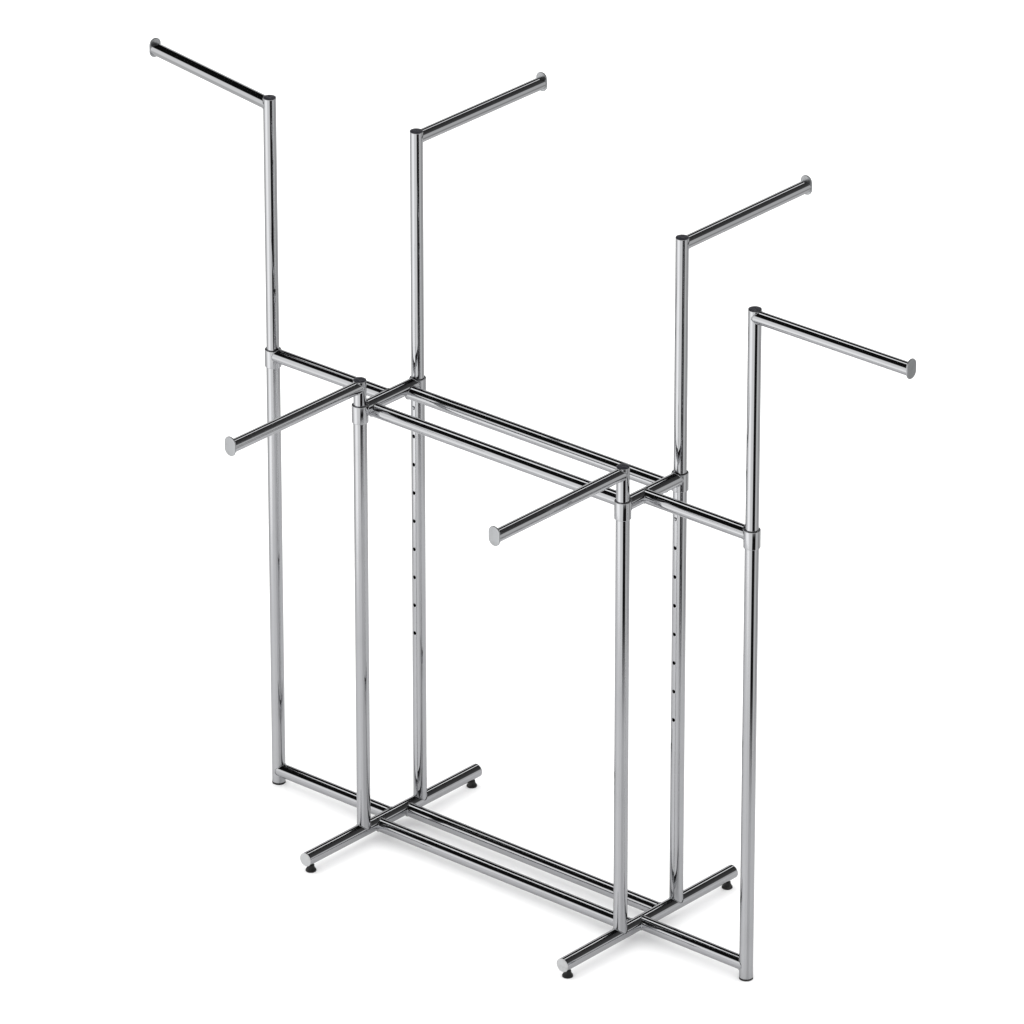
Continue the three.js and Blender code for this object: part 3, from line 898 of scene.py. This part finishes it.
# %% Building one finish
def finish_material(name, clean, dusty, roughness, metallic, marks, waves, bump, **settings):
    """A Principled material: its colour goes from clean to dusty and its roughness from the
    lower to the upper value with the handling marks, and the surface waves feed its bump."""
    material = bpy.data.materials.new(name)
    material.use_nodes = True
    tree = material.node_tree
    shader = tree.nodes["Principled BSDF"]
    dull = place_group(tree, handling_marks, **marks).outputs["Dull"]
    colour = tree.nodes.new("ShaderNodeMix")
    colour.data_type = "RGBA"
    colour.inputs["A"].default_value = (*clean, 1)
    colour.inputs["B"].default_value = (*dusty, 1)
    tree.links.new(dull, colour.inputs["Factor"])
    tree.links.new(colour.outputs["Result"], shader.inputs["Base Color"])
    rough = tree.nodes.new("ShaderNodeMapRange")
    rough.inputs["To Min"].default_value, rough.inputs["To Max"].default_value = roughness
    tree.links.new(dull, rough.inputs["Value"])
    tree.links.new(rough.outputs["Result"], shader.inputs["Roughness"])
    height = place_group(tree, surface_waves, **waves).outputs["Height"]
    bumps = tree.nodes.new("ShaderNodeBump")
    bumps.inputs["Strength"].default_value = bump[0]
    bumps.inputs["Distance"].default_value = bump[1]
    tree.links.new(height, bumps.inputs["Height"])
    tree.links.new(bumps.outputs["Normal"], shader.inputs["Normal"])
    shader.inputs["Metallic"].default_value = metallic
    for label, value in settings.items():
        shader.inputs[label.replace("_", " ")].default_value = value
    return material


# %% [markdown]
# ## One material for each stock
#
# Chrome reflects a little over half of the light that falls on it, and is faintly blue. The
# stop plates are satin plated. The caps, plugs and feet are moulded, and their grain shows
# only as a softer highlight.

# %% The materials
CHROME_CLEAN = (0.60, 0.605, 0.62)
CHROME_DUSTY = (0.52, 0.525, 0.535)

chrome = finish_material(
    "bright_chrome", CHROME_CLEAN, CHROME_DUSTY, (0.035, 0.11), 1.0,
    {"Patch_Scale": 8.0, "Fine_Scale": 240.0, "Amount": 0.35},
    {"Wave_Scale": 18.0, "Wave_Height": 1.0, "Grain_Scale": 1500.0, "Grain_Height": 0.02},
    (0.12, 0.0004),
)
weld_chrome = finish_material(
    "plated_weld", (0.55, 0.555, 0.57), (0.38, 0.385, 0.39), (0.10, 0.30), 1.0,
    {"Patch_Scale": 60.0, "Fine_Scale": 700.0, "Amount": 1.0},
    {"Wave_Scale": 300.0, "Wave_Height": 1.0, "Grain_Scale": 2500.0, "Grain_Height": 0.3},
    (0.5, 0.0004),
)
satin = finish_material(
    "satin_plate", (0.47, 0.48, 0.49), (0.38, 0.385, 0.39), (0.30, 0.45), 1.0,
    {"Patch_Scale": 40.0, "Fine_Scale": 600.0, "Amount": 1.0},
    {"Wave_Scale": 120.0, "Wave_Height": 0.4, "Grain_Scale": 2600.0, "Grain_Height": 0.6},
    (0.2, 0.0003),
)
spring = finish_material(
    "spring_steel", (0.45, 0.455, 0.47), (0.30, 0.30, 0.30), (0.16, 0.40), 1.0,
    {"Patch_Scale": 90.0, "Fine_Scale": 900.0, "Amount": 1.0},
    {"Wave_Scale": 200.0, "Wave_Height": 0.5, "Grain_Scale": 2600.0, "Grain_Height": 0.5},
    (0.2, 0.0002),
)
plug_plastic = finish_material(
    "black_plug_plastic", (0.012, 0.012, 0.017), (0.045, 0.045, 0.05), (0.28, 0.5), 0.0,
    {"Patch_Scale": 70.0, "Fine_Scale": 900.0, "Amount": 0.7},
    {"Wave_Scale": 150.0, "Wave_Height": 0.4, "Grain_Scale": 2200.0, "Grain_Height": 0.8},
    (0.35, 0.0003),
)
cap_plastic = finish_material(
    "grey_cap_plastic", (0.40, 0.405, 0.41), (0.32, 0.32, 0.32), (0.35, 0.55), 0.0,
    {"Patch_Scale": 60.0, "Fine_Scale": 800.0, "Amount": 1.0},
    {"Wave_Scale": 130.0, "Wave_Height": 0.3, "Grain_Scale": 2000.0, "Grain_Height": 0.8},
    (0.3, 0.0003),
)
foot_rubber = finish_material(
    "black_foot_rubber", (0.006, 0.006, 0.006), (0.05, 0.048, 0.045), (0.55, 0.85), 0.0,
    {"Patch_Scale": 80.0, "Fine_Scale": 700.0, "Amount": 0.9},
    {"Wave_Scale": 220.0, "Wave_Height": 0.6, "Grain_Scale": 1800.0, "Grain_Height": 1.0},
    (0.6, 0.0004),
)
SLOT_FINISH = {
    "chromed_tube": chrome,
    "satin_plate": satin,
    "spring_steel": spring,
    "black_plastic": plug_plastic,
    "grey_plastic": cap_plastic,
    "black_rubber": foot_rubber,
}
for slot, pieces in FINISHED.items():
    for piece in pieces:
        material = weld_chrome if piece.name.startswith("weld_") else SLOT_FINISH[slot]
        piece.data.materials.append(material)
for node in frame["nodes"].values():
    node.data.materials.clear()
    node.data.materials.append(chrome)
print({slot: len(pieces) for slot, pieces in FINISHED.items()})

# %% [markdown]
# ## Floor
#
# A pale sheet carries the rack. Mirror-bright tube shows the floor around it as a soft pale
# patch, and past that the room. A sheet that ended there would leave an edge in the picture,
# so the sheet is wide, and it thins out only for rays that come from a reflection. Those rays
# also see it as grey, because a sheet as white as this one would wash out the polished tube.

# %% Floor
FLOOR_REACH = 40.0
PATCH_INNER, PATCH_OUTER = 1.5, 2.35
FLOOR_SHARE = 0.8  # how solid the middle of the sheet is in a reflection
FLOOR_ROUGHNESS, FLOOR_SHINE = 0.9, 0.1
FLOOR_SEEN = (0.93, 0.93, 0.93, 1)  # colour of the sheet itself
FLOOR_MIRRORED = (0.48, 0.48, 0.485, 1)  # its colour in a reflection

floor_mesh = bpy.data.meshes.new("floor")
corners = np.array([[-1, -1, 0], [1, -1, 0], [1, 1, 0], [-1, 1, 0]]) * FLOOR_REACH
floor_mesh.from_pydata(corners, [], [(0, 1, 2, 3)])
floor = bpy.data.objects.new("floor", floor_mesh)
bpy.context.scene.collection.objects.link(floor)

floor_material = bpy.data.materials.new("pale_floor")
floor_material.use_nodes = True
tree = floor_material.node_tree
paint = tree.nodes["Principled BSDF"]
paint.inputs["Roughness"].default_value = FLOOR_ROUGHNESS
paint.inputs["Specular IOR Level"].default_value = FLOOR_SHINE
place = tree.nodes.new("ShaderNodeTexCoord")
length = tree.nodes.new("ShaderNodeVectorMath")
length.operation = "LENGTH"
tree.links.new(place.outputs["Object"], length.inputs[0])
thinning = steps_between(tree, length.outputs["Value"], PATCH_INNER, PATCH_OUTER)
shown = maths(tree, "MULTIPLY", maths(tree, "SUBTRACT", 1.0, thinning), FLOOR_SHARE)
rays = tree.nodes.new("ShaderNodeLightPath")
tint = tree.nodes.new("ShaderNodeMix")
tint.data_type = "RGBA"
tint.inputs["A"].default_value, tint.inputs["B"].default_value = FLOOR_SEEN, FLOOR_MIRRORED
tree.links.new(rays.outputs["Is Glossy Ray"], tint.inputs["Factor"])
tree.links.new(tint.outputs["Result"], paint.inputs["Base Color"])
hidden = maths(tree, "SUBTRACT", 1.0, shown)
see_through = maths(tree, "MULTIPLY", hidden, rays.outputs["Is Glossy Ray"])
clear = tree.nodes.new("ShaderNodeBsdfTransparent")
mix = tree.nodes.new("ShaderNodeMixShader")
tree.links.new(see_through, mix.inputs["Fac"])
tree.links.new(paint.outputs["BSDF"], mix.inputs[1])
tree.links.new(clear.outputs["BSDF"], mix.inputs[2])
tree.links.new(mix.outputs["Shader"], tree.nodes["Material Output"].inputs["Surface"])
floor_mesh.materials.append(floor_material)

# %% [markdown]
# ## Studio
#
# Chrome shows its surroundings, so the studio is built for its reflections: a pale sweep all
# round and below, a dark ceiling, one long lamp high behind the rack, and a dark gap in the
# sweep that draws the black line down each riser, with fainter ones that shade its sides.
# It is painted on the world by direction. Where a ray comes from the camera or from a matt
# surface, the world is plain.

# %% World
SWEEP_WAY = towards(math.radians(338), 0)
HIGH_SIDE = towards(math.radians(320), 0)
GREY_SIDE = towards(math.radians(150), 0)
LAMP_MIDDLE = unit([-0.435, 0.436, 0.788])
LAMP_ACROSS = unit([-0.715, 0.364, -0.597])
GLOW_WAY = towards(math.radians(338), math.radians(-25.5))
LOW_BACK = towards(math.radians(221), math.radians(-30))
SWEEP_LEVEL, SWEEP_LEAN = 0.77, 0.22  # brightness of the sweep, and how much it leans
GLOW_LEVEL, GLOW_REACH = 0.4, (0.90, 0.995)
LOW_BACK_LEVEL, LOW_BACK_REACH = 0.4, (0.75, 1.0)
# Stripes: azimuth in degrees, inner and outer sideways distance, and brightness.
STRIPES = ((66, 0.31, 0.38, 0.01), (138, 0.08, 0.20, 0.33), (272, 0.30, 0.60, 0.6))
STRIPE_TOP = (-0.4, -0.2)  # upward direction over which the stripes fade out
STRIPE_SIDE = (0.2, 0.5)
CEILING_LEVEL, GREY_LEVEL = 0.005, 0.075
LAMP_LEVEL, LAMP_WIDTH, LAMP_LENGTH = 1.3, (0.04, 0.075), (0.70, 0.80)
EDGE_HEIGHT, EDGE_LEAN, EDGE_SOFT = 0.34, 0.06, 0.06  # where the ceiling starts
PLAIN_TO_CAMERA = 1.0
PLAIN_TO_MATT = 1.5

world = bpy.data.worlds.new("studio")
bpy.context.scene.world = world
world.use_nodes = True
sky = world.node_tree
direction = sky.nodes.new("ShaderNodeTexCoord").outputs["Generated"]


def along_way(way):
    """How far a ray points along a way: their dot product."""
    node = sky.nodes.new("ShaderNodeVectorMath")
    node.operation = "DOT_PRODUCT"
    sky.links.new(direction, node.inputs[0])
    node.inputs[1].default_value = way
    return node.outputs["Value"]


def blend(first, second, share):
    """first where share is 0 and second where it is 1, as first + (second - first) * share."""
    change = maths(sky, "MULTIPLY", maths(sky, "SUBTRACT", second, first), share)
    return maths(sky, "ADD", first, change)


upwards = along_way(Z)
low_down = maths(sky, "SUBTRACT", 1.0, steps_between(sky, upwards, *STRIPE_TOP))


def upright_stripe(azimuth, inner, outer):
    """A mask for an upright stripe in the lower sweep at an azimuth in degrees: 1 to the inner
    and 0 from the outer sideways distance, and only on that side of the studio."""
    sideways = maths(sky, "ABSOLUTE", along_way(towards(math.radians(azimuth + 90), 0)))
    middle = maths(sky, "SUBTRACT", 1.0, steps_between(sky, sideways, inner, outer))
    front = steps_between(sky, along_way(towards(math.radians(azimuth), 0)), *STRIPE_SIDE)
    return maths(sky, "MULTIPLY", maths(sky, "MULTIPLY", middle, front), low_down)


sweep_lean = maths(sky, "MULTIPLY", along_way(SWEEP_WAY), SWEEP_LEAN)
sweep = maths(sky, "ADD", sweep_lean, SWEEP_LEVEL)
glow = steps_between(sky, along_way(GLOW_WAY), *GLOW_REACH)
sweep = maths(sky, "ADD", sweep, maths(sky, "MULTIPLY", glow, GLOW_LEVEL))
sweep = blend(sweep, LOW_BACK_LEVEL, steps_between(sky, along_way(LOW_BACK), *LOW_BACK_REACH))
for azimuth, inner, outer, stripe_level in STRIPES:
    sweep = blend(sweep, stripe_level, upright_stripe(azimuth, inner, outer))

grey = maths(sky, "POWER", maths(sky, "MAXIMUM", along_way(GREY_SIDE), 0.0), 2.0)
ceiling = maths(sky, "ADD", maths(sky, "MULTIPLY", grey, GREY_LEVEL), CEILING_LEVEL)
lamp_edge = maths(sky, "ABSOLUTE", along_way(LAMP_ACROSS))
lamp_width = maths(sky, "SUBTRACT", 1.0, steps_between(sky, lamp_edge, *LAMP_WIDTH))
lamp_length = steps_between(sky, along_way(LAMP_MIDDLE), *LAMP_LENGTH)
ceiling = blend(ceiling, LAMP_LEVEL, maths(sky, "MULTIPLY", lamp_width, lamp_length))

edge_lean = maths(sky, "MULTIPLY", along_way(HIGH_SIDE), EDGE_LEAN)
over_edge = maths(sky, "SUBTRACT", upwards, maths(sky, "ADD", edge_lean, EDGE_HEIGHT))
above = steps_between(sky, over_edge, -EDGE_SOFT, EDGE_SOFT)
studio = blend(sweep, ceiling, above)

rays = sky.nodes.new("ShaderNodeLightPath")
plain = blend(PLAIN_TO_MATT, PLAIN_TO_CAMERA, rays.outputs["Is Camera Ray"])
level = blend(plain, studio, rays.outputs["Is Glossy Ray"])
sky.links.new(level, sky.nodes["Background"].inputs["Strength"])
sky.nodes["Background"].inputs["Color"].default_value = (1, 1, 1, 1)

# %% Soft key lamp
KEY_SIZE = (4.0, 3.0)
KEY_POWER = 40.0
KEY_PLACE = (-2.0, -3.0, 6.0)
KEY_TURN = (math.radians(26), 0.0, math.radians(-34))

lamp_data = bpy.data.lights.new("soft_key", "AREA")
lamp_data.shape = "RECTANGLE"
lamp_data.size, lamp_data.size_y = KEY_SIZE
lamp_data.energy = KEY_POWER
lamp = bpy.data.objects.new("soft_key", lamp_data)
bpy.context.scene.collection.objects.link(lamp)
lamp.location = KEY_PLACE
lamp.rotation_euler = KEY_TURN
lamp.visible_glossy = False
bpy.context.scene.view_settings.view_transform = "Standard"
print("key lamp", lamp_data.energy, "W")
